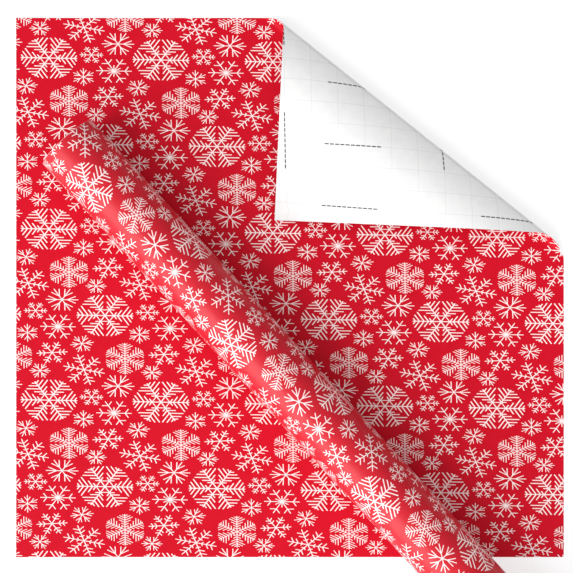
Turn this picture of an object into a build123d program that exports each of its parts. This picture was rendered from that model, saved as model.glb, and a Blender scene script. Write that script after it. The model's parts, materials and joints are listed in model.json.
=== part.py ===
from build123d import *
import os
from math import asin, atan2, ceil, cos, degrees, hypot, radians, sin

# A roll of gift wrap lying across a square sheet cut from the same paper, one corner folded back.
# Millimetres, +Z up. The origin is the middle of the sheet's underside, with X and Y along its edges.
# Each sub-part is one solid in its own STEP file, named after its node.

# Paper and cut sheet
PAPER = 0.1  # thickness of one layer of gift wrap
SHEET_X = 584.0
SHEET_Y = 575.0

# Folded corner: the bend starts on a straight line across the sheet's +X +Y corner. The paper turns
# through a tight bend, arches over a slack one, and then runs straight down to its free corner.
FOLD_CUT_X = 323.0  # from that corner to the fold, along the sheet's +Y edge
FOLD_CUT_Y = 258.0  # from that corner to the fold, along the sheet's +X edge
CURL_R = 9.0  # radius of the tight bend, at the middle of the paper
CURL_TURN = 150.0  # how far the paper turns in it
ARCH_R = 96.0  # radius of the slack bend
FLAP_START = 27.4  # the flap's root, along the fold from its end on the +Y edge
FLAP_END = 373.3
FLAP_TIP = 146.1  # the flap's free corner, along the fold
FLAP_REACH = 159.2  # and square to the fold, seen in plan
FLAP_GAP = 0.3  # under the free corner, and between the root and its neighbours
FACET = 2.0  # a thin shell's curve is made of flats that turn this far

# Roll
ROLL_LENGTH = 762.0
ROLL_R = 34.0  # over the outermost turn
ROLL_END = (-232.3, 151.4)  # the middle of the roll's upper left end, in plan
ROLL_ANGLE = -47.5  # the roll's axis in plan, from +X
REST_GAP = 0.3  # between the roll and the sheet under it

# Core: two board plies, the inner with a running clearance in the outer
CORE_BORE_R = 19.05
PLY = 0.5
PLY_CLEARANCE = 0.1
TAPE_THICK = 0.1
TAPE_GLUE = 0.01  # between the core and the tape's film
TAPE_WIDTH = 12.0
TAPE_INSET = 20.0  # from each end of the roll to the tape

# Loose leading edge of the paper, on the side of the roll away from above
END_ROOT_ANGLE = 300.0  # around the axis, from the roll's right side through its top
END_TIP_ANGLE = 340.0
END_GAP = 0.1  # under the edge, and 3 times that at its root and tip

# Derived: fold. Places across it are (distance outwards from where the bend starts, height).
FOLD_LENGTH = hypot(FOLD_CUT_X, FOLD_CUT_Y)
FOLD_ALONG = Vector(FOLD_CUT_X, -FOLD_CUT_Y, 0).normalized()
FOLD_START = Vector(SHEET_X / 2 - FOLD_CUT_X, SHEET_Y / 2, 0)
CURL_CENTRE = Vector(0, PAPER / 2 + CURL_R, 0)
ROOT_ANGLE = CURL_TURN - 90
ROOT_WAY = Vector(cos(radians(ROOT_ANGLE)), sin(radians(ROOT_ANGLE)), 0)
ROOT = CURL_CENTRE + CURL_R * ROOT_WAY
ARCH_CENTRE = ROOT - ARCH_R * ROOT_WAY
TIP = Vector(-FLAP_REACH, PAPER + FLAP_GAP + PAPER / 2, 0)
TO_TIP = TIP - ARCH_CENTRE
# The straight runs down to the tip along the slack bend's tangent, at this slope.
FLAP_SLOPE = degrees(atan2(-TO_TIP.Y, -TO_TIP.X) + asin(ARCH_R / TO_TIP.length))
ARCH_TOP_Z = ARCH_CENTRE.Y + ARCH_R

# Derived: roll
AXIS = Vector(cos(radians(ROLL_ANGLE)), sin(radians(ROLL_ANGLE)), 0)
ACROSS = Vector(-AXIS.Y, AXIS.X, 0)  # the roll's right side
AXIS_Z = PAPER + REST_GAP + ROLL_R
AXIS_START = Vector(*ROLL_END, AXIS_Z)
OUTER_PLY_R = CORE_BORE_R + PLY + PLY_CLEARANCE
CORE_R = OUTER_PLY_R + PLY
WEB_R = CORE_R + TAPE_THICK

FOLD_PLAN = Plane(origin=FOLD_START, x_dir=FOLD_ALONG, z_dir=(0, 0, 1))
FOLD_SECTION = Plane(origin=FOLD_START, x_dir=FOLD_PLAN.y_dir, z_dir=FOLD_ALONG)
FOLD_SIDE = Plane(origin=FOLD_START, x_dir=FOLD_ALONG, z_dir=-FOLD_PLAN.y_dir)
ROLL_SECTION = Plane(origin=AXIS_START, x_dir=ACROSS, z_dir=AXIS)


def prism(plane, points, low, high):
    """A closed outline drawn on a plane, as a solid between two heights above it."""
    return extrude(plane.offset(low) * make_face(Polyline(*points, close=True)), amount=high - low)


def facets(centre, radius, start, end):
    """Points round a centre, from one angle to another, no further apart than FACET."""
    steps = ceil(abs(end - start) / FACET)
    angles = [radians(start + (end - start) * i / steps) for i in range(steps + 1)]
    return [(centre.X + radius * cos(a), centre.Y + radius * sin(a)) for a in angles]


def thin_shell(plane, centre, inner, outer, start, end, length):
    """Part of a tube in flats, so that a mesh of it keeps its thickness."""
    outline = facets(centre, outer, start, end) + facets(centre, inner, end, start)
    return prism(plane, outline, 0, length)


def round_shell(plane, centre, inner, outer, start, end, length):
    """Part of a tube with round faces, from one angle to another round its centre."""
    at_start = Vector(cos(radians(start)), sin(radians(start)), 0)
    at_end = Vector(cos(radians(end)), sin(radians(end)), 0)
    outline = [
        CenterArc(centre, outer, start, end - start),
        Line(centre + outer * at_end, centre + inner * at_end),
        CenterArc(centre, inner, start, end - start),
        Line(centre + inner * at_start, centre + outer * at_start),
    ]
    return extrude(plane * make_face(outline), amount=length)


def tube(inner, outer):
    """A full-length tube round the roll's axis."""
    return extrude(ROLL_SECTION * (Circle(outer) - Circle(inner)), amount=ROLL_LENGTH)


def core_inner_ply():
    return tube(CORE_BORE_R, CORE_BORE_R + PLY)


def core_outer_ply():
    return tube(OUTER_PLY_R, CORE_R)


def start_tape():
    """The strip that holds the paper's first turn to the core, at the top of the core."""
    half = degrees(TAPE_WIDTH / 2 / CORE_R)
    plane = ROLL_SECTION.offset(TAPE_INSET)
    length = ROLL_LENGTH - 2 * TAPE_INSET
    film_r = CORE_R + TAPE_GLUE
    return thin_shell(plane, Vector(0, 0, 0), film_r, WEB_R, 90 - half, 90 + half, length)


def wound_paper():
    """All the turns, with the seat that the loose leading edge lies in."""
    margin = degrees(3 * END_GAP / ROLL_R)
    seat = round_shell(
        ROLL_SECTION,
        Vector(0, 0, 0),
        ROLL_R - PAPER - END_GAP,
        ROLL_R + PAPER,
        END_ROOT_ANGLE - margin,
        END_TIP_ANGLE + margin,
        ROLL_LENGTH,
    )
    return tube(WEB_R, ROLL_R) - seat


def paper_end():
    """The last stretch of the outermost turn, up to its free edge."""
    return thin_shell(
        ROLL_SECTION,
        Vector(0, 0, 0),
        ROLL_R - PAPER,
        ROLL_R,
        END_ROOT_ANGLE,
        END_TIP_ANGLE,
        ROLL_LENGTH,
    )


def sheet_panel():
    """The flat part of the sheet, up to the line where its corner starts to bend."""
    x = SHEET_X / 2
    y = SHEET_Y / 2
    outline = [(-x, -y), (x, -y), (x, y - FOLD_CUT_Y), (x - FOLD_CUT_X, y), (-x, y)]
    return prism(Plane.XY, outline, 0, PAPER)


def sheet_curl():
    """The tight bend, trimmed so that the fold narrows from the sheet's edges to the flap's."""
    half = PAPER / 2
    bend = round_shell(FOLD_SECTION, CURL_CENTRE, CURL_R - half, CURL_R + half, -90, ROOT_ANGLE, FOLD_LENGTH)
    trim = [(0, 0), (FOLD_LENGTH, 0), (FLAP_END, 2 * CURL_R), (FLAP_START, 2 * CURL_R)]
    return bend & prism(FOLD_SIDE, trim, -2 * CURL_R, 2 * CURL_R)


def sheet_corner():
    """The folded-back flap: the slack bend, and the straight down to the free corner."""
    half = PAPER / 2
    straight_angle = 90 + FLAP_SLOPE
    gap_angle = degrees(FLAP_GAP / ARCH_R)
    over = facets(ARCH_CENTRE, ARCH_R + half, ROOT_ANGLE + gap_angle, straight_angle)
    under = facets(ARCH_CENTRE, ARCH_R - half, straight_angle, ROOT_ANGLE + gap_angle)
    tip_over = (TIP.X - half * sin(radians(FLAP_SLOPE)), TIP.Y + half * cos(radians(FLAP_SLOPE)))
    tip_under = (TIP.X + half * sin(radians(FLAP_SLOPE)), TIP.Y - half * cos(radians(FLAP_SLOPE)))
    plate = prism(FOLD_SECTION, [*over, tip_over, tip_under, *under], 0, FOLD_LENGTH)
    root_x = ROOT.X + half
    outline = [(FLAP_START, root_x), (FLAP_END, root_x), (FLAP_TIP, TIP.X)]
    return plate & prism(FOLD_PLAN, outline, 0, 2 * ARCH_TOP_Z)


SUBPARTS = [
    core_inner_ply,
    core_outer_ply,
    start_tape,
    wound_paper,
    paper_end,
    sheet_panel,
    sheet_curl,
    sheet_corner,
]

os.makedirs("parts", exist_ok=True)
for make in SUBPARTS:
    export_step(make(), f"parts/{make.__name__}.step")
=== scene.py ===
import json
import bmesh
import bpy
from math import asin, atan2, ceil, cos, hypot, pi, radians, sin, sqrt, tau
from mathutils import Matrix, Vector
from mathutils.geometry import delaunay_2d_cdt


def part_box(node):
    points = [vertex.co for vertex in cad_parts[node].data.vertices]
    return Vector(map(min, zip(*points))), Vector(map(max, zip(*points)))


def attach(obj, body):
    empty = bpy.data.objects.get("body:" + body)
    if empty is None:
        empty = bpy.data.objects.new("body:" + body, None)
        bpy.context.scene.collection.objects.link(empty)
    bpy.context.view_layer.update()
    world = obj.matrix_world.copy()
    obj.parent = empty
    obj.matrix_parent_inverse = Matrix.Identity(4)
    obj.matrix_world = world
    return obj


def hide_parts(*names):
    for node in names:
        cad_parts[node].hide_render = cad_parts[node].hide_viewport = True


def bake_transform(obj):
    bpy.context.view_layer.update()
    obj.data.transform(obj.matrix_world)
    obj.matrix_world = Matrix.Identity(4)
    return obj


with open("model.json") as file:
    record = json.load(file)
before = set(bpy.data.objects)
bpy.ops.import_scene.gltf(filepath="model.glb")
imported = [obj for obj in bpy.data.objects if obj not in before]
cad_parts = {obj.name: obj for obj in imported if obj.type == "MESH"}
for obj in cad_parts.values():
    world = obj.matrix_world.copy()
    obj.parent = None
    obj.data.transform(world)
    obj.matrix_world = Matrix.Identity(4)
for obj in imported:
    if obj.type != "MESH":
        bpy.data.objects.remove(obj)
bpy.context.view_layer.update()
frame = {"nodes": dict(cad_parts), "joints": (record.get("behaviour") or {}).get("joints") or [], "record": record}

# A roll of snowflake gift wrap lying across a square sheet of the same paper, one corner folded back.
# Metres, in the frame's own axes. Paper surfaces are drawn flat first, then placed on the object.

MM = 0.001
SHARP_EDGE = radians(35)

# Paper and its print
PAPER = 0.1 * MM
INK_GAP = 0.012 * MM  # between the paper and the print
INK = 0.025 * MM  # thickness of the print
PANEL_CELL = 12 * MM  # the flat sheet's mesh
RIPPLE = 0.05 * MM  # unevenness of the flat sheet
CORNER_RISE = 0.9 * MM  # how far the flat sheet's left corners lift, where the roll never comes
CORNER_REACH = 75 * MM
FLAT_REACH = 60 * MM  # how far from the fold the sheet's unevenness grows in

# Folded corner, as in the CAD model: a tight bend, then a slack one, then straight down to the tip
FOLD_CUT_X = 323 * MM
FOLD_CUT_Y = 258 * MM
CURL_R = 9 * MM
CURL_TURN = radians(150)
ARCH_R = 96 * MM
FLAP_START = 27.4 * MM
FLAP_END = 373.3 * MM
FLAP_TIP = 146.1 * MM
FLAP_REACH = 159.2 * MM
FLAP_GAP = 0.3 * MM
TIP_WIDTH = 0.4 * MM  # the free corner isn't quite a point
FOLD_COLUMNS = 48
AREA_STEPS = 200
CURL_STEP = radians(2.5)
ARCH_STEP = 3 * MM

# Roll
ROLL_END_ANGLE = radians(340)  # where the outermost turn ends, round the axis from the roll's right side
ROLL_ROOT_ANGLE = radians(300)
ROLL_FACETS = 144
ROLL_ROWS = 24
END_LIFT = 0.5 * MM  # how far the loose edge stands off the roll
END_LIFT_REACH = 9 * MM
WEB_INNER_R = 20.26 * MM
LOOSE_EDGE_ROWS = 60
EDGE_RIDGES = 58  # ridges on each end of the roll, each for two or three paper edges
RIDGE_DEPTH = 0.07 * MM
RIDGE = ((0.12, 0), (0.72, 0), (0.92, 1))  # a ridge's shape: share of the way over it, and share of the depth
WANDER = 0.32 * MM  # how unevenly the paper is wound
PLY = 0.5 * MM
PLY_CLEARANCE = 0.1 * MM
SEAM_TURNS = 7  # turns of the strip that each ply is wound from
SEAM_DEPTH = 0.18 * MM
END_WEAR = 0.12 * MM
PLY_COLUMNS = 72
PLY_ROWS = 60 * SEAM_TURNS

# Snowflake artwork: ten designs in a cell, and the cell again half a cell across and down
CELL_X = 107.4 * MM
CELL_Y = 217.2 * MM
REPEATS = 8  # cells each way, enough to cover the sheet and the roll
SHEET_SCALE = Vector((1.112, 0.84))
SHEET_SLANT = -0.018
SHEET_FLAKE = Vector((-257.0, 244.8)) * MM  # one of the largest flakes on the sheet
ROLL_FLAKE = Vector((-15.9, 271.1)) * MM  # and on the roll: round from its top, and from its upper end

# Reverse side: a faint cutting grid
COLUMN = 21.9 * MM
ROW = 28.1 * MM
GRID_LINE = 0.45 * MM
GRID_PIECES = 24  # pieces in half of each line
SHEET_GRID = (0, pi / 2)  # which way its columns and rows are turned
FLAP_GRID = (radians(16.3), radians(102.8))  # in line with the folded corner's own cut edges
DASH_LINE = 1.2 * MM
DASH = 4.2 * MM
DASH_STEP = 5.5 * MM
DASH_LEAD = 58 * MM  # how far before the grid's middle a line of dashes starts
DASH_COUNT = 11  # dashes in one line of them
DASHED_COLUMNS = range(-21, 22, 3)
DASHED_ROWS = range(-20, 20, 6)
DASH_REPEATS = range(-4, 5)  # lines of dashes along one column or row, from the grid's middle

# Studio
FLOOR_REACH = 20
FLOOR_GAP = 0.15 * MM  # below the sheet
CAMERA_HEIGHT = 1.6
CAMERA_LENS = 94.25
PICTURE_CENTRE = Vector((-3.7, 1.07)) * MM
SKY_TILT = 0.6  # how much of the sky's change is from high to low, against from side to side
SKY_BRIGHT = 1.02
SKY_DIM = 0.17


# ---------------------------------------------------------------- places on the object

low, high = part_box("sheet_panel")
SHEET_LOW = low.xy
SHEET_HIGH = high.xy
FOLD_START = Vector((SHEET_HIGH.x - FOLD_CUT_X, SHEET_HIGH.y))
FOLD_ALONG = Vector((FOLD_CUT_X, -FOLD_CUT_Y)).normalized()
FOLD_OUT = Vector((-FOLD_ALONG.y, FOLD_ALONG.x))
FOLD_LENGTH = hypot(FOLD_CUT_X, FOLD_CUT_Y)

# The fold's section: outwards from where the bend starts, and height, at the middle of the paper
CURL_CENTRE = Vector((0, PAPER / 2 + CURL_R))
ROOT_ANGLE = CURL_TURN - pi / 2
ROOT_WAY = Vector((cos(ROOT_ANGLE), sin(ROOT_ANGLE)))
ROOT = CURL_CENTRE + CURL_R * ROOT_WAY
ARCH_CENTRE = ROOT - ARCH_R * ROOT_WAY
TIP = Vector((-FLAP_REACH, 1.5 * PAPER + FLAP_GAP))
TO_TIP = TIP - ARCH_CENTRE
FLAP_SLOPE = atan2(-TO_TIP.y, -TO_TIP.x) + asin(ARCH_R / TO_TIP.length)
ARCH_TURN = pi / 2 + FLAP_SLOPE - ROOT_ANGLE
CURL_ARC = CURL_R * CURL_TURN
ARCH_ARC = CURL_ARC + ARCH_R * ARCH_TURN
TIP_ARC = ARCH_ARC + sqrt(TO_TIP.length_squared - ARCH_R**2)

joints = {joint["name"]: joint for joint in frame["joints"]}
AXIS = Vector(joints["roll_spin"]["axis"])
ACROSS = Vector((-AXIS.y, AXIS.x, 0))
bore = next(mount for mount in frame["record"]["mounts"] if mount["name"] == "core_bore")
ROLL_LENGTH = bore["dims"]["length_mm"] * MM
BORE_R = bore["dims"]["r_mm"] * MM
low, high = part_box("wound_paper")
ROLL_R = (high.z - low.z) / 2
ROLL_START = Vector(bore["pos_m"]) - AXIS * ROLL_LENGTH / 2
TURN = tau * ROLL_R
ROOT_ARC = ROLL_R * (ROLL_END_ANGLE - ROLL_ROOT_ANGLE)
TOP_ARC = ROLL_R * (ROLL_END_ANGLE - pi / 2)


def smooth(x):
    """0 to 1 with level ends, over x from 0 to 1."""
    x = min(max(x, 0), 1)
    return x * x * (3 - 2 * x)


def on_panel(x, y, off):
    """A place on the flat sheet, off its middle towards the printed side."""
    wave = sin(x * 31 + 0.7) * sin(y * 27 + 1.9) + 0.6 * sin(x * 58 - y * 43)
    rise = 0
    for corner in (SHEET_LOW, Vector((SHEET_LOW.x, SHEET_HIGH.y))):
        distance = (Vector((x, y)) - corner).length
        rise += CORNER_RISE * smooth(1 - distance / CORNER_REACH) ** 2
    from_fold = (FOLD_START - Vector((x, y))).dot(FOLD_OUT)
    z = PAPER / 2 + (RIPPLE * (1 + wave / 1.6) + rise) * smooth(from_fold / FLAT_REACH)
    return Vector((x, y, z + off))


def fold_section(arc):
    """The middle of the paper at an arc length over the fold, and which way the paper runs there."""
    if arc < CURL_ARC:
        turn = arc / CURL_R
        return CURL_CENTRE + CURL_R * Vector((sin(turn), -cos(turn))), turn
    if arc < ARCH_ARC:
        turn = CURL_TURN + (arc - CURL_ARC) / ARCH_R
        return ARCH_CENTRE + ARCH_R * Vector((sin(turn), -cos(turn))), turn
    turn = CURL_TURN + ARCH_TURN
    return TIP + (arc - TIP_ARC) * Vector((cos(turn), sin(turn))), turn


def hermite(x, start, start_slope, end, end_slope):
    """A cubic over x from 0 to 1 with these values and slopes at its ends."""
    rest = 1 - x
    swing = x * rest * (start_slope * rest - end_slope * x)
    return start * rest * rest * (1 + 2 * x) + end * x * x * (1 + 2 * rest) + swing


def fold_sides(arc):
    """The flap's two cut edges at an arc length over the fold, as distances along the fold."""
    run = cos(CURL_TURN)
    left_slope = (FLAP_TIP - FLAP_START) / FLAP_REACH
    right_slope = (FLAP_TIP - FLAP_END) / FLAP_REACH
    if arc < CURL_ARC:
        x = arc / CURL_ARC
        left = hermite(x, 0, FOLD_ALONG.x / FOLD_OUT.x * CURL_ARC, FLAP_START, -left_slope * run * CURL_ARC)
        right_start = FOLD_ALONG.y / FOLD_OUT.y * CURL_ARC
        right = hermite(x, FOLD_LENGTH, right_start, FLAP_END, -right_slope * run * CURL_ARC)
        return left, right
    reach = (ROOT.x - fold_section(arc)[0].x) / (ROOT.x - TIP.x)
    left = FLAP_START + (FLAP_TIP - TIP_WIDTH / 2 - FLAP_START) * reach
    right = FLAP_END + (FLAP_TIP + TIP_WIDTH / 2 - FLAP_END) * reach
    return left, right


def on_fold(share, arc, off):
    """A place on the folded corner: share of the way between its cut edges, and off its middle."""
    left, right = fold_sides(arc)
    middle, turn = fold_section(arc)
    spot = middle + off * Vector((-sin(turn), cos(turn)))
    flat = FOLD_START + FOLD_ALONG * (left + (right - left) * share) + FOLD_OUT * spot.x
    return Vector((flat.x, flat.y, spot.y))


def across_roll(angle, radius):
    """A place round the roll's axis, from its right side through its top."""
    return ACROSS * (radius * cos(angle)) + Vector((0, 0, radius * sin(angle)))


def on_roll(arc, down, off):
    """A place on the roll's outermost turns: arc from the loose edge, and down as a negative distance."""
    angle = ROLL_END_ANGLE - arc / ROLL_R
    radius = ROLL_R - PAPER * arc / TURN + off
    return ROLL_START - AXIS * down + across_roll(angle, radius)


def on_loose_edge(arc, down, off):
    """The same on the loose edge, which stands off the roll a little."""
    lift = END_LIFT * smooth(1 - arc / END_LIFT_REACH)
    waver = 0.75 + 0.25 * sin(down * 17 + 1)
    return on_roll(arc, down, off + lift * waver)


# ---------------------------------------------------------------- flat drawings and thin solids


def grid(low_x, high_x, low_y, high_y, cells_x, cells_y):
    """A flat rectangular mesh."""
    bm = bmesh.new()
    across = [low_x + (high_x - low_x) * i / cells_x for i in range(cells_x + 1)]
    rows = []
    for j in range(cells_y + 1):
        y = low_y + (high_y - low_y) * j / cells_y
        rows.append([bm.verts.new((x, y, 0)) for x in across])
    for below, above in zip(rows, rows[1:]):
        for i in range(cells_x):
            bm.faces.new((below[i], below[i + 1], above[i + 1], above[i]))
    return bm


def flat_mesh(points, faces):
    """A flat mesh with its printed side up."""
    mesh = bpy.data.meshes.new("flat")
    mesh.from_pydata(points, [], faces)
    bm = bmesh.new()
    bm.from_mesh(mesh)
    bpy.data.meshes.remove(mesh)
    return bm


def cut(bm, point, outwards, keep_all=False):
    """Cuts a flat mesh along a line, and clears what lies outwards of it."""
    bmesh.ops.bisect_plane(
        bm,
        geom=bm.verts[:] + bm.edges[:] + bm.faces[:],
        dist=1e-8,
        plane_co=(*point, 0),
        plane_no=(*outwards, 0),
        clear_outer=not keep_all,
    )


def trim(bm, low_x, high_x, low_y, high_y):
    """Clears what lies outside a rectangle."""
    cut(bm, (low_x, 0), (-1, 0))
    cut(bm, (high_x, 0), (1, 0))
    cut(bm, (0, low_y), (0, -1))
    cut(bm, (0, high_y), (0, 1))


def thin_solid(name, bm, place, under, over, materials):
    """A closed solid between two offsets from a surface. Materials: printed side, reverse, cut edge."""
    bm.verts.index_update()
    count = len(bm.verts)
    points = [place(v.co.x, v.co.y, over) for v in bm.verts]
    points += [place(v.co.x, v.co.y, under) for v in bm.verts]
    faces = [[v.index for v in face.verts] for face in bm.faces]
    backs = [[i + count for i in reversed(face)] for face in faces]
    rim = []
    for edge in bm.edges:
        if edge.is_boundary:
            a = edge.link_loops[0].vert.index
            b = edge.link_loops[0].link_loop_next.vert.index
            rim.append((a + count, b + count, b, a))
    bm.free()
    sides = [0] * len(faces) + [1] * len(backs) + [2] * len(rim)
    return new_piece(name, points, faces + backs + rim, materials, sides)


def new_object(name, data):
    thing = bpy.data.objects.new(name, data)
    bpy.context.scene.collection.objects.link(thing)
    return thing


def new_piece(name, points, faces, materials, material_of_face=None):
    """A smooth-shaded mesh object with sharp edges kept sharp."""
    mesh = bpy.data.meshes.new(name)
    mesh.from_pydata([tuple(point) for point in points], [], faces)
    for material in materials:
        mesh.materials.append(material)
    if material_of_face is not None and len(materials) > 1:
        mesh.polygons.foreach_set("material_index", material_of_face)
    mesh.polygons.foreach_set("use_smooth", [True] * len(mesh.polygons))
    mesh.set_sharp_from_angle(angle=SHARP_EDGE)
    mesh.update()
    return new_object(name, mesh)


# ---------------------------------------------------------------- snowflakes, drawn in millimetres

BOLD = 1.15
FINE = 0.95
THIN = 0.8
STAR = [(8.7, 4.6), (11.9, 8), (16.1, 13.2), (20.6, 9), (24.4, 4)]
FERN = [(3.4, 3.4), (6.3, 4), (9.2, 6.2), (12.1, 8.4), (15, 6), (17.5, 2.8)]  # ends in a round outline


def stroke(start, end, width):
    """The outline of one stroke of a pen with a blunt rounded tip."""
    way = (end - start).normalized()
    side = Vector((-way.y, way.x)) * width / 2
    shoulder = end - way * width * 0.05
    nose = end + way * width * 0.28
    return [start - side, shoulder - side, nose - side / 2, nose + side / 2, shoulder + side, start + side]


def polar(angle, radius):
    return Vector((cos(angle), sin(angle))) * radius


def branched(radius, barbs, width, turned=0, spread=60):
    """Six arms with a pair of barbs at each of the listed distances, as (distance, length)."""
    strokes = []
    for arm in range(6):
        angle = radians(turned) + tau * arm / 6
        strokes.append(stroke(polar(angle, 0), polar(angle, radius), width))
        for distance, length in barbs:
            root = polar(angle, distance)
            for lean in (angle - radians(spread), angle + radians(spread)):
                strokes.append(stroke(root, root + polar(lean, length), width))
    return strokes


def ring(radius, width):
    """A hexagon that joins six arms."""
    corners = [polar(tau * i / 6, radius) for i in range(6)]
    return [stroke(a, b, width) for a, b in zip(corners, corners[1:] + corners[:1])]


def hub(radius):
    """A small round middle."""
    return [polar(tau * i / 10, radius) for i in range(10)]


def union(outlines):
    """One flat triangle mesh of overlapping outlines, in metres, without the points inside it."""
    points = []
    faces = []
    for outline in outlines:
        faces.append([len(points) + i for i in range(len(outline))])
        points += outline
    verts, _, pieces, _, _, origins = delaunay_2d_cdt(points, [], faces, 1, 1e-5)
    bm = flat_mesh([(*v, 0) for v in verts], [piece for piece, origin in zip(pieces, origins) if origin])
    bmesh.ops.dissolve_limit(bm, angle_limit=radians(1), verts=bm.verts[:], edges=bm.edges[:])
    bmesh.ops.triangulate(bm, faces=bm.faces[:])
    bm.verts.index_update()
    verts = [v.co.xy * MM for v in bm.verts]
    triangles = [[v.index for v in face.verts] for face in bm.faces]
    bm.free()
    return verts, triangles


# Each flake: its place in the cell in millimetres, and its design
FLAKES = [
    (0, 0, branched(26.8, STAR, BOLD) + ring(8.4, FINE)),
    (19.2, -54.2, branched(19.7, FERN, THIN, 30.5)),
    (87.3, -69.1, branched(20, [(5.4, 2.6), (9.8, 5.5), (14.2, 6)], FINE, -12)),
    (62.3, -15.0, branched(16.8, [(10.7, 6)], FINE) + branched(7, [], FINE, 30) + [hub(1.6)]),
    (66.2, 19.3, branched(15.4, [(5, 9)], FINE, 0, 28)),
    (40.8, 4.8, branched(11.1, [(5.4, 3.2), (8.2, 3)], THIN)),
    (56.6, -48.1, branched(14.6, [(6.6, 3.8), (10.2, 3.8)], FINE, 5)),
    (33.1, -23.4, branched(11, [(3.8, 5.6)], THIN, 31, 30)),
    (85.4, -36.1, branched(11.2, [(3.8, 5.8)], THIN, 10, 30)),
    (45.1, -71.3, branched(10, [(3.4, 5.2)], THIN, 0, 30)),
]
DESIGNS = [(Vector((x, y)) * MM, *union(strokes)) for x, y, strokes in FLAKES]
PRINTS = (("_large_snowflakes", DESIGNS[:2]), ("_small_snowflakes", DESIGNS[2:]))
LARGEST = 27 * MM  # just over the radius of the largest flake


def snowflakes(place, inside, designs):
    """A flat mesh of the flakes that inside() lets through, each placed from the artwork."""
    points = []
    faces = []
    for column in range(-REPEATS, REPEATS + 1):
        for row in range(-REPEATS, REPEATS + 1):
            for half in (0, 0.5):
                corner = Vector(((column + half) * CELL_X, (row + half) * CELL_Y))
                for spot, verts, triangles in designs:
                    if not inside(place(corner + spot)):
                        continue
                    first = len(points)
                    points += [(*place(corner + spot + v), 0) for v in verts]
                    faces += [[i + first for i in triangle] for triangle in triangles]
    return flat_mesh(points, faces)


def sheet_artwork(point):
    """From the artwork to the flat sheet."""
    x = SHEET_FLAKE.x + point.x * SHEET_SCALE.x
    y = SHEET_FLAKE.y + point.y * SHEET_SCALE.y + SHEET_SLANT * point.x * SHEET_SCALE.x
    return Vector((x, y))


def roll_artwork(point):
    """From the artwork to the outermost turns, as arc and negative distance down the roll."""
    return Vector((TOP_ARC + ROLL_FLAKE.x + point.x, point.y - ROLL_FLAKE.y))


# ---------------------------------------------------------------- materials


class Nodes:
    """A new material's nodes, with short calls to add and link them."""

    def __init__(self, name):
        self.material = bpy.data.materials.new(name)
        self.material.use_nodes = True
        self.tree = self.material.node_tree
        self.shader = self.tree.nodes["Principled BSDF"]

    def add(self, kind, inputs=None, **settings):
        node = self.tree.nodes.new(kind)
        for key, value in settings.items():
            setattr(node, key, value)
        for key, value in (inputs or {}).items():
            self.put(node.inputs[key], value)
        return node

    def put(self, socket, value):
        if isinstance(value, bpy.types.NodeSocket):
            self.tree.links.new(value, socket)
        else:
            socket.default_value = value

    def noise(self, scale, detail=2.0, stretch=(1, 1, 1)):
        spot = self.add("ShaderNodeTexCoord").outputs["Object"]
        spot = self.add("ShaderNodeMapping", {"Vector": spot, "Scale": stretch}).outputs["Vector"]
        cloud = self.add("ShaderNodeTexNoise", {"Vector": spot, "Scale": scale, "Detail": detail})
        return cloud.outputs["Fac"]

    def ramp(self, fac, low_value, high_value, start=0.3, end=0.7):
        node = self.add(
            "ShaderNodeMapRange",
            {"Value": fac, "From Min": start, "From Max": end, "To Min": low_value, "To Max": high_value},
        )
        return node.outputs["Result"]

    def mix(self, fac, first, second):
        node = self.add("ShaderNodeMix", data_type="RGBA")
        self.put(node.inputs["Factor"], fac)
        self.put(node.inputs["A"], first)
        self.put(node.inputs["B"], second)
        return node.outputs["Result"]

    def bump(self, height, strength, distance):
        node = self.add("ShaderNodeBump", {"Height": height, "Strength": strength, "Distance": distance})
        self.put(self.shader.inputs["Normal"], node.outputs["Normal"])

    def set(self, **values):
        for key, value in values.items():
            self.put(self.shader.inputs[key.replace("_", " ")], value)


def printed_red(name, sheen, coat):
    """Gloss-coated red print, with the faint mottle and fine grain of coated paper."""
    n = Nodes(name)
    mottle = n.noise(60, 3)
    red = n.mix(n.ramp(mottle, 0, 1), (0.578, 0.0025, 0.016, 1), (0.610, 0.0035, 0.019, 1))
    n.set(Base_Color=red, Roughness=n.ramp(n.noise(900, 2), 0.40, 0.47), Specular_IOR_Level=sheen)
    n.set(Coat_Weight=coat, Coat_Roughness=0.3)
    n.bump(n.noise(1400, 2), 0.12, 0.00002)
    return n.material


def printed_white(name, sheen, coat):
    """The flakes: bare gloss-coated white paper."""
    n = Nodes(name)
    n.set(Base_Color=(0.98, 0.81, 0.80, 1), Roughness=n.ramp(n.noise(900, 2), 0.40, 0.47))
    n.set(Specular_IOR_Level=sheen, Coat_Weight=coat, Coat_Roughness=0.3)
    n.bump(n.noise(1400, 2), 0.1, 0.00002)
    return n.material


def paper_reverse():
    """Uncoated white paper: matt, with soft fibre cloudiness."""
    n = Nodes("paper_reverse")
    cloud = n.noise(120, 4)
    white = n.mix(n.ramp(cloud, 0, 1), (0.83, 0.83, 0.83, 1), (0.87, 0.87, 0.865, 1))
    n.set(Base_Color=white, Roughness=n.ramp(n.noise(700, 3), 0.62, 0.75), Specular_IOR_Level=0.35)
    n.bump(n.noise(1100, 4, (1, 0.35, 1)), 0.25, 0.00003)
    return n.material


def cut_edge():
    """The cut edge of the paper: white fibre with the print's red at one side."""
    n = Nodes("cut_edge")
    n.set(Base_Color=n.mix(n.noise(1500, 2), (0.85, 0.60, 0.60, 1), (0.92, 0.86, 0.85, 1)), Roughness=0.8)
    return n.material


def reverse_ink(name, grey):
    """Grey print on the uncoated reverse."""
    n = Nodes(name)
    n.set(Base_Color=grey, Roughness=n.ramp(n.noise(700, 3), 0.62, 0.75), Specular_IOR_Level=0.3)
    return n.material


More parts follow.
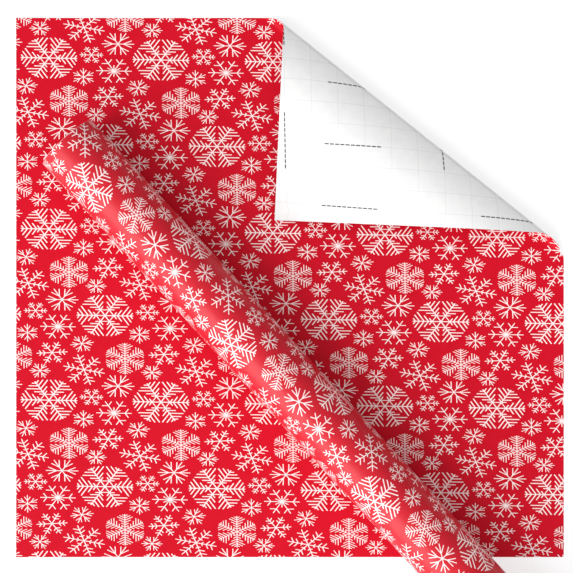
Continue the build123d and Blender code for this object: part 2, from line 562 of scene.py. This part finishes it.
def wound_edges():
    """The ends of the roll: more than a hundred cut paper edges, white with fine lines of the red print."""
    n = Nodes("wound_edges")
    spot = n.add("ShaderNodeTexCoord").outputs["Object"]
    from_axis = n.add("ShaderNodeVectorMath", {0: spot, 1: tuple(ROLL_START)}, operation="SUBTRACT")
    arm = n.add("ShaderNodeVectorMath", {0: from_axis.outputs[0], 1: tuple(AXIS)}, operation="CROSS_PRODUCT")
    radius = n.add("ShaderNodeVectorMath", {0: arm.outputs[0]}, operation="LENGTH").outputs["Value"]
    rings = n.add("ShaderNodeTexNoise", {"W": radius, "Scale": 6500.0, "Detail": 3.0}, noise_dimensions="1D")
    bands = n.add("ShaderNodeTexNoise", {"W": radius, "Scale": 900.0, "Detail": 2.0}, noise_dimensions="1D")
    lines = n.ramp(rings.outputs["Fac"], 0, 1, 0.42, 0.62)
    colour = n.mix(lines, (0.90, 0.74, 0.73, 1), (0.72, 0.16, 0.19, 1))
    colour = n.mix(n.ramp(bands.outputs["Fac"], 0, 0.55), colour, (0.92, 0.83, 0.82, 1))
    n.set(Base_Color=colour, Roughness=0.82, Specular_IOR_Level=0.25)
    n.bump(rings.outputs["Fac"], 0.5, 0.00006)
    return n.material


def core_board():
    """Grey-brown spiral-wound board, with fibres and flecks."""
    n = Nodes("core_board")
    fibre = n.noise(260, 6, (1, 1, 4))
    fleck = n.noise(1500, 2)
    board = n.mix(n.ramp(fibre, 0, 1), (0.40, 0.29, 0.185, 1), (0.52, 0.395, 0.265, 1))
    board = n.mix(n.ramp(fleck, 0, 0.6, 0.62, 0.72), board, (0.26, 0.18, 0.12, 1))
    n.set(Base_Color=board, Roughness=n.ramp(fibre, 0.78, 0.9), Specular_IOR_Level=0.2)
    n.bump(n.noise(900, 5), 0.5, 0.00006)
    return n.material


def clear_tape():
    """Thin clear tape over the core, yellowish where its glue shows."""
    n = Nodes("clear_tape")
    n.set(Base_Color=n.mix(n.noise(300, 3), (0.80, 0.74, 0.58, 1), (0.88, 0.84, 0.72, 1)))
    n.set(Roughness=n.ramp(n.noise(800, 2), 0.2, 0.35), Coat_Weight=0.5)
    n.bump(n.noise(500, 3), 0.2, 0.00003)
    return n.material


def studio_floor():
    """A light table: much of its brightness is its own, so that shadows on it stay pale."""
    n = Nodes("studio_floor")
    n.set(Base_Color=(0.38, 0.38, 0.38, 1), Roughness=0.9, Specular_IOR_Level=0.1)
    n.set(Emission_Color=(1, 1, 1, 1), Emission_Strength=0.64)
    return n.material


RED = printed_red("printed_red", 0.08, 0.02)
WHITE = printed_white("printed_white", 0.08, 0.02)
TIGHT_RED = printed_red("printed_red_tight", 0.24, 0.26)
TIGHT_WHITE = printed_white("printed_white_tight", 0.24, 0.26)
REVERSE = paper_reverse()
EDGE = cut_edge()
GRID = reverse_ink("grid_line", (0.72, 0.72, 0.73, 1))
DASHES = reverse_ink("dash_print", (0.06, 0.06, 0.07, 1))
WOUND = wound_edges()
BOARD = core_board()
PAPER_SIDES = [RED, REVERSE, EDGE]
ROLL_SIDES = [TIGHT_RED, REVERSE, EDGE]
PRINT_UNDER = PAPER / 2 + INK_GAP
PRINT_OVER = PRINT_UNDER + INK


# ---------------------------------------------------------------- the sheet


def fold_spot(point):
    """A point of the flat sheet as share between the flap's cut edges, and arc over the fold."""
    away = point - FOLD_START
    arc = away.dot(FOLD_OUT)
    left, right = fold_sides(min(max(arc, 0), TIP_ARC))
    return Vector(((away.dot(FOLD_ALONG) - left) / (right - left), arc))


def near_sheet(point):
    reach = LARGEST * SHEET_SCALE.x
    return all(SHEET_LOW[i] - reach < point[i] < SHEET_HIGH[i] + reach for i in (0, 1))


def near_fold(start, end):
    reach = LARGEST * SHEET_SCALE.x

    def inside(point):
        arc = (point - FOLD_START).dot(FOLD_OUT)
        along = (point - FOLD_START).dot(FOLD_ALONG)
        return start - reach < arc < end + reach and -reach < along < FOLD_LENGTH + reach

    return inside


def bars(strips, width):
    """A flat mesh of narrow strips, each from one point to another."""
    points = []
    faces = []
    for start, end in strips:
        way = (end - start).normalized()
        half = Vector((-way.y, way.x)) * width / 2
        faces.append([len(points) + i for i in range(4)])
        points += [(*p, 0) for p in (start - half, end - half, end + half, start + half)]
    return flat_mesh(points, faces)


def grid_ways(turns):
    """For the grid's columns, then its rows: the first one's place, its direction, the step to the next."""
    ways = []
    for turn, pitch, first in zip(turns, (COLUMN, ROW), (0.5, 0)):
        step = Vector((cos(turn), sin(turn))) * pitch
        ways.append((step * first, Vector((sin(turn), -cos(turn))), step))
    return ways


def grid_lines(turns):
    """The cutting grid's lines over the whole sheet, in short pieces that can follow its surface."""
    reach = SHEET_HIGH.length
    cell = reach / GRID_PIECES
    strips = []
    for first, way, step in grid_ways(turns):
        count = ceil(reach / step.length)
        for i in range(-count, count + 1):
            line = first + step * i
            for j in range(-GRID_PIECES, GRID_PIECES):
                strips.append((line + way * j * cell, line + way * (j + 1) * cell))
    return bars(strips, GRID_LINE)


def grid_dashes(turns):
    """Lines of plain dashes on every third column and every sixth row of the grid."""
    columns, rows = grid_ways(turns)
    strips = []
    for (first, way, step), lines, period, lead in (
        (columns, DASHED_COLUMNS, 6 * ROW, DASH_LEAD),
        (rows, DASHED_ROWS, 6 * COLUMN, DASH_LEAD + 2 * COLUMN),
    ):
        for i in lines:
            for repeat in DASH_REPEATS:
                for dash in range(DASH_COUNT):
                    start = first + step * i + way * (repeat * period + dash * DASH_STEP - lead)
                    strips.append((start, start + way * DASH))
    return bars(strips, DASH_LINE)


def reverse_print(turns):
    """What is printed on the reverse: a name's ending, a drawing, how far it stands off, its ink."""
    return (
        ("_grid", grid_lines(turns), PRINT_OVER, GRID),
        ("_dashes", grid_dashes(turns), PRINT_OVER + INK_GAP, DASHES),
    )


def trim_panel(bm):
    trim(bm, SHEET_LOW.x, SHEET_HIGH.x, SHEET_LOW.y, SHEET_HIGH.y)
    cut(bm, FOLD_START, FOLD_OUT)


def to_fold(bm, start, end, step):
    """Turns a drawing on the flat sheet into one on the folded corner, cut across at even steps."""
    for vert in bm.verts:
        share, arc = fold_spot(vert.co.xy)
        vert.co = (share, arc, 0)
    trim(bm, 0, 1, start, end)
    count = ceil((end - start) / step)
    for i in range(1, count):
        cut(bm, (0, start + (end - start) * i / count), (0, 1), keep_all=True)


def panel():
    cells_x = ceil((SHEET_HIGH.x - SHEET_LOW.x) / PANEL_CELL)
    cells_y = ceil((SHEET_HIGH.y - SHEET_LOW.y) / PANEL_CELL)
    bm = grid(SHEET_LOW.x, SHEET_HIGH.x, SHEET_LOW.y, SHEET_HIGH.y, cells_x, cells_y)
    cut(bm, FOLD_START, FOLD_OUT)
    paper = thin_solid("sheet_flat", bm, on_panel, -PAPER / 2, PAPER / 2, PAPER_SIDES)
    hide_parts("sheet_panel")
    pieces = [paper]
    for mark, designs in PRINTS:
        drawing = snowflakes(sheet_artwork, near_sheet, designs)
        trim_panel(drawing)
        pieces.append(thin_solid("sheet_flat" + mark, drawing, on_panel, PRINT_UNDER, PRINT_OVER, [WHITE]))
    for mark, drawing, off, material in reverse_print(SHEET_GRID):
        trim_panel(drawing)
        pieces.append(thin_solid("sheet_flat" + mark, drawing, on_panel, -off, -PRINT_UNDER, [material]))
    for piece in pieces:
        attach(piece, "sheet")


def fold_area(start, end):
    """Flat area of the folded corner between two arc lengths."""
    arcs = [start + (end - start) * (i + 0.5) / AREA_STEPS for i in range(AREA_STEPS)]
    return sum(fold_sides(arc)[1] - fold_sides(arc)[0] for arc in arcs) / AREA_STEPS * (end - start)


def folded_stretch(name, node, start, end, step):
    """One stretch of the folded corner: its paper, its print and its grid."""
    rows = ceil((end - start) / step)
    bm = grid(0, 1, start, end, FOLD_COLUMNS, rows)
    paper = thin_solid(name, bm, on_fold, -PAPER / 2, PAPER / 2, PAPER_SIDES)
    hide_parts(node)
    pieces = [paper]
    for mark, designs in PRINTS:
        drawing = snowflakes(sheet_artwork, near_fold(start, end), designs)
        to_fold(drawing, start, end, step)
        pieces.append(thin_solid(name + mark, drawing, on_fold, PRINT_UNDER, PRINT_OVER, [WHITE]))
    for mark, drawing, off, material in reverse_print(FLAP_GRID):
        cut(drawing, FOLD_START - FOLD_OUT * ROW, -FOLD_OUT)
        to_fold(drawing, start, end, step)
        if drawing.faces:
            pieces.append(thin_solid(name + mark, drawing, on_fold, -off, -PRINT_UNDER, [material]))
    width = max(fold_sides(arc)[1] - fold_sides(arc)[0] for arc in (start, end))
    return pieces, dict(flat=(width, end - start), held="folded", area=fold_area(start, end))


def curl():
    pieces, cloth = folded_stretch("sheet_bend", "sheet_curl", 0, CURL_ARC, CURL_R * CURL_STEP)
    for piece in pieces:
        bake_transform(piece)


def flap():
    pieces, cloth = folded_stretch("sheet_flap", "sheet_corner", CURL_ARC, TIP_ARC, ARCH_STEP)
    for piece in pieces:
        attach(piece, "corner")


# ---------------------------------------------------------------- the roll


def near_roll(start, end):
    def inside(point):
        return start - LARGEST < point.x < end + LARGEST and -ROLL_LENGTH - LARGEST < point.y < LARGEST

    return inside


def roll_print(name, place, start, end):
    """The flakes on a stretch of the outermost turns, cut across wherever the paper is faceted."""
    pieces = []
    count = ceil((end - start) / TURN * ROLL_FACETS)
    for mark, designs in PRINTS:
        drawing = snowflakes(roll_artwork, near_roll(start, end), designs)
        trim(drawing, start, end, -ROLL_LENGTH, 0)
        for i in range(1, count):
            cut(drawing, (start + (end - start) * i / count, 0), (1, 0), keep_all=True)
        pieces.append(thin_solid(name + mark, drawing, place, INK_GAP, INK_GAP + INK, [TIGHT_WHITE]))
    return pieces


def wander(ridge, angle):
    """How far a turn's edge lies inside the roll's end."""
    slow = sin(ridge * 0.31 + 0.4) + 0.6 * sin(ridge * 0.83 + 2.1) + 0.35 * sin(ridge * 2.7 + angle)
    return WANDER * (0.5 + slow / 3.9)


def wound_roll():
    """All the turns as one solid: the spiral outside, and the paper's edges on both ends."""
    arcs = [ROOT_ARC + TURN * i / ROLL_FACETS for i in range(ROLL_FACETS + 1)]
    angles = [ROLL_END_ANGLE - arc / ROLL_R for arc in arcs]
    outer = [ROLL_R - PAPER * arc / TURN for arc in arcs]
    rings = []
    for end in (0, 1):
        profile = []
        for ridge in range(EDGE_RIDGES):
            for share, depth in RIDGE:
                profile.append(((ridge + share) / EDGE_RIDGES, ridge, depth))
        profile = [(0, 0, 1)] + profile + [(1, EDGE_RIDGES, 1)]
        if end:
            profile.reverse()
        for share, ridge, depth in profile:
            ring = []
            for angle, radius in zip(angles, outer):
                inset = wander(ridge, angle) + RIDGE_DEPTH * depth
                down = ROLL_LENGTH - inset if not end else inset
                at = WEB_INNER_R + (radius - WEB_INNER_R) * share
                ring.append(ROLL_START + AXIS * down + across_roll(angle, at))
            rings.append(ring)
    per_end = len(rings) // 2
    rows = []
    for i in range(1, ROLL_ROWS):
        down = ROLL_LENGTH * (1 - i / ROLL_ROWS)
        rows.append([ROLL_START + AXIS * down + across_roll(a, r) for a, r in zip(angles, outer)])
    rings = rings[:per_end] + rows + rings[per_end:]
    points = [point for ring in rings for point in ring]
    width = ROLL_FACETS + 1
    faces = []
    sides = []
    for j in range(len(rings)):
        below = j * width
        above = (j + 1) % len(rings) * width
        on_outside = per_end - 1 <= j < per_end + len(rows)
        for i in range(ROLL_FACETS):
            faces.append((below + i, below + i + 1, above + i + 1, above + i))
            sides.append(0 if on_outside else 1)
    step = [j * width for j in range(len(rings))]
    step_end = [j * width + ROLL_FACETS for j in range(len(rings))]
    piece = new_piece("wound_paper_web", points, faces, [TIGHT_RED, WOUND, EDGE], sides)
    close_step(piece, step, step_end)
    return piece


def close_step(piece, starts, ends):
    """Joins the wound solid's two radial borders, which differ by one turn's thickness."""
    bm = bmesh.new()
    bm.from_mesh(piece.data)
    bm.verts.ensure_lookup_table()
    border = [(starts[j], ends[j]) for j in range(len(starts))]
    for (a, b), (c, d) in zip(border, border[1:] + border[:1]):
        corners = [bm.verts[i] for i in (a, c, d, b)]
        if len({tuple(round(x, 9) for x in v.co) for v in corners}) == 4:
            bm.faces.new(corners).material_index = 2
    bmesh.ops.remove_doubles(bm, verts=bm.verts[:], dist=1e-7)
    bmesh.ops.recalc_face_normals(bm, faces=bm.faces[:])
    bm.to_mesh(piece.data)
    bm.free()
    piece.data.set_sharp_from_angle(angle=SHARP_EDGE)


def web():
    paper = wound_roll()
    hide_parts("wound_paper")
    for piece in [paper] + roll_print("wound_paper", on_roll, ROOT_ARC, ROOT_ARC + TURN):
        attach(piece, "roll")


def loose_edge():
    cells = ceil(ROOT_ARC / TURN * ROLL_FACETS)
    bm = grid(0, ROOT_ARC, -ROLL_LENGTH, 0, cells, LOOSE_EDGE_ROWS)
    paper = thin_solid("loose_edge_paper", bm, on_loose_edge, -PAPER, 0, ROLL_SIDES)
    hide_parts("paper_end")
    flakes = roll_print("loose_edge", on_loose_edge, 0, ROOT_ARC)
    for piece in [paper] + flakes:
        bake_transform(piece)


def ply(name, node, body, inner, seam_at):
    """One ply of the core: a tube wound from a strip, with the groove of its seam inside."""

    def turned(i, j):
        return seam_at + tau * (i / PLY_COLUMNS + SEAM_TURNS * j / PLY_ROWS)

    points = []
    for j in range(PLY_ROWS + 1):
        for i in range(PLY_COLUMNS):
            angle = turned(i, j)
            radius = inner + (SEAM_DEPTH if i == 0 else 0)
            wear = END_WEAR * (1 + sin(3 * angle) * sin(7 * angle)) if j in (0, PLY_ROWS) else 0
            down = ROLL_LENGTH * j / PLY_ROWS + wear * (1 if j == 0 else -1)
            points.append(ROLL_START + AXIS * down + across_roll(angle, radius))
    for j in (0, PLY_ROWS):
        for i in range(PLY_COLUMNS):
            down = ROLL_LENGTH * j / PLY_ROWS
            points.append(ROLL_START + AXIS * down + across_roll(turned(i, j), inner + PLY))
    last = PLY_ROWS * PLY_COLUMNS
    outer = last + PLY_COLUMNS
    outer_last = outer + PLY_COLUMNS
    faces = []
    for i in range(PLY_COLUMNS):
        after = (i + 1) % PLY_COLUMNS
        for j in range(PLY_ROWS):
            a = j * PLY_COLUMNS
            b = a + PLY_COLUMNS
            faces.append((a + i, a + after, b + after, b + i))
        faces.append((outer + after, outer + i, outer_last + i, outer_last + after))
        faces.append((i, outer + i, outer + after, after))
        faces.append((last + after, outer_last + after, outer_last + i, last + i))
    piece = new_piece(name, points, faces, [BOARD])
    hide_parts(node)
    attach(piece, body)


def core():
    ply("core_inner_board", "core_inner_ply", "carrier", BORE_R, seam_at=0.6)
    ply("core_outer_board", "core_outer_ply", "roll", BORE_R + PLY + PLY_CLEARANCE, seam_at=2.2)
    tape = frame["nodes"]["start_tape"]
    tape.data.materials.clear()
    tape.data.materials.append(clear_tape())


# ---------------------------------------------------------------- studio


def floor_plane():
    mesh = bpy.data.meshes.new("floor")
    corners = [(-FLOOR_REACH, -FLOOR_REACH, 0), (FLOOR_REACH, -FLOOR_REACH, 0)]
    corners += [(FLOOR_REACH, FLOOR_REACH, 0), (-FLOOR_REACH, FLOOR_REACH, 0)]
    mesh.from_pydata(corners, [], [(0, 1, 2, 3)])
    mesh.materials.append(studio_floor())
    plane = new_object("floor", mesh)
    plane.location.z = -FLOOR_GAP


def area_light(name, azimuth, elevation, distance, width, height, power):
    """A softbox aimed at the sheet's middle, its place given as directions from there."""
    light = bpy.data.lights.new(name, "AREA")
    light.shape = "RECTANGLE"
    light.size = width
    light.size_y = height
    light.energy = power
    box = new_object(name, light)
    way = Vector((cos(azimuth) * cos(elevation), sin(azimuth) * cos(elevation), sin(elevation)))
    box.location = way * distance
    box.rotation_euler = way.to_track_quat("Z", "Y").to_euler()


def sky():
    """A soft surround, brighter overhead and on the key light's side."""
    world = bpy.data.worlds.new("studio")
    world.use_nodes = True
    tree = world.node_tree
    way = tree.nodes.new("ShaderNodeTexCoord")
    dimmer_side = tree.nodes.new("ShaderNodeVectorMath")
    dimmer_side.operation = "DOT_PRODUCT"
    dimmer_side.inputs[1].default_value = (ACROSS - Vector((0, 0, SKY_TILT))).normalized()
    dim = tree.nodes.new("ShaderNodeMapRange")
    dim.inputs["From Min"].default_value = -1
    dim.inputs["To Min"].default_value = SKY_BRIGHT
    dim.inputs["To Max"].default_value = SKY_DIM
    tree.links.new(way.outputs["Generated"], dimmer_side.inputs[0])
    tree.links.new(dimmer_side.outputs["Value"], dim.inputs["Value"])
    tree.links.new(dim.outputs["Result"], tree.nodes["Background"].inputs["Strength"])
    tree.nodes["Background"].inputs["Color"].default_value = (1, 1, 1, 1)
    bpy.context.scene.world = world


def studio():
    floor_plane()
    square_to_roll = atan2(-ACROSS.y, -ACROSS.x)
    area_light("key", square_to_roll, elevation=radians(36), distance=6, width=6, height=5.2, power=366)
    sky()
    bpy.context.scene.view_settings.view_transform = "Standard"


def camera():
    """Straight down over the sheet, with +Y up in the picture."""
    lens = bpy.data.cameras.new("camera")
    lens.lens = CAMERA_LENS
    lens.sensor_width = 36
    lens.clip_end = 50
    eye = new_object("camera", lens)
    eye.location = (*PICTURE_CENTRE, CAMERA_HEIGHT)
    bpy.context.scene.camera = eye


panel()
curl()
flap()
web()
loose_edge()
core()
studio()
camera()
